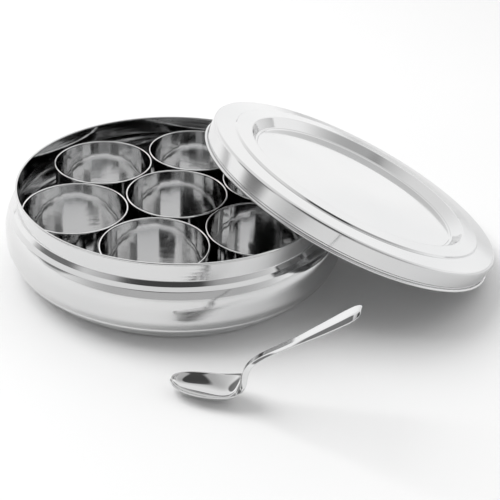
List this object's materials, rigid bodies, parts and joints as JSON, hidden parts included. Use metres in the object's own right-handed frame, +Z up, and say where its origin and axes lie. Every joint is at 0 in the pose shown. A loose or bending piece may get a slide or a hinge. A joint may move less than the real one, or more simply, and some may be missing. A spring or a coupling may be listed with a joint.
{
  "type": "spice box",
  "caption": "Round sheet-steel spice box, open, with loose straight-sided cups inside, a recessed lift-off lid leaning on its rim and a small spoon in front.",
  "frame": {"origin": "centre of the box's flat base, on the surface it stands on", "axes": "+Z up along the box's axis; +X towards the side the lid leans to; -Y towards the side the spoon lies on"},
  "size_m": [0.3142, 0.2906, 0.0911],
  "materials": {
    "box_steel": "polished",
    "cup_steel": "polished",
    "lid_steel": "polished",
    "spoon_steel": "polished"
  },
  "bodies": {
    "box_body": {"box_body": "box_steel"},
    "cup_center": {"cup_center": "cup_steel"},
    "cup_right": {"cup_right": "cup_steel"},
    "cup_back_right": {"cup_back_right": "cup_steel"},
    "cup_back_left": {"cup_back_left": "cup_steel"},
    "cup_left": {"cup_left": "cup_steel"},
    "cup_front_left": {"cup_front_left": "cup_steel"},
    "cup_front_right": {"cup_front_right": "cup_steel"},
    "lid": {"lid": "lid_steel"},
    "spoon": {"spoon": "spoon_steel"}
  },
  "joints": [
    {"name": "lift_cup_center", "type": "slide", "parent": "box_body", "child": "cup_center", "axis": [0, 0, 1], "range_m": [0, 0.03]},
    {"name": "lift_cup_right", "type": "slide", "parent": "box_body", "child": "cup_right", "axis": [0, 0, 1], "range_m": [0, 0.009]},
    {"name": "lift_cup_back_right", "type": "slide", "parent": "box_body", "child": "cup_back_right", "axis": [0, 0, 1], "range_m": [0, 0.014]},
    {"name": "lift_cup_back_left", "type": "slide", "parent": "box_body", "child": "cup_back_left", "axis": [0, 0, 1], "range_m": [0, 0.06]},
    {"name": "lift_cup_left", "type": "slide", "parent": "box_body", "child": "cup_left", "axis": [0, 0, 1], "range_m": [0, 0.06]},
    {"name": "lift_cup_front_left", "type": "slide", "parent": "box_body", "child": "cup_front_left", "axis": [0, 0, 1], "range_m": [0, 0.06]},
    {"name": "lift_cup_front_right", "type": "slide", "parent": "box_body", "child": "cup_front_right", "axis": [0, 0, 1], "range_m": [0, 0.016]},
    {"name": "lift_lid", "type": "slide", "parent": "box_body", "child": "lid", "axis": [0, 0, 1], "range_m": [0, 0.12]},
    {"name": "lift_spoon", "type": "slide", "parent": "box_body", "child": "spoon", "axis": [0, 0, 1], "range_m": [0, 0.1]}
  ]
}
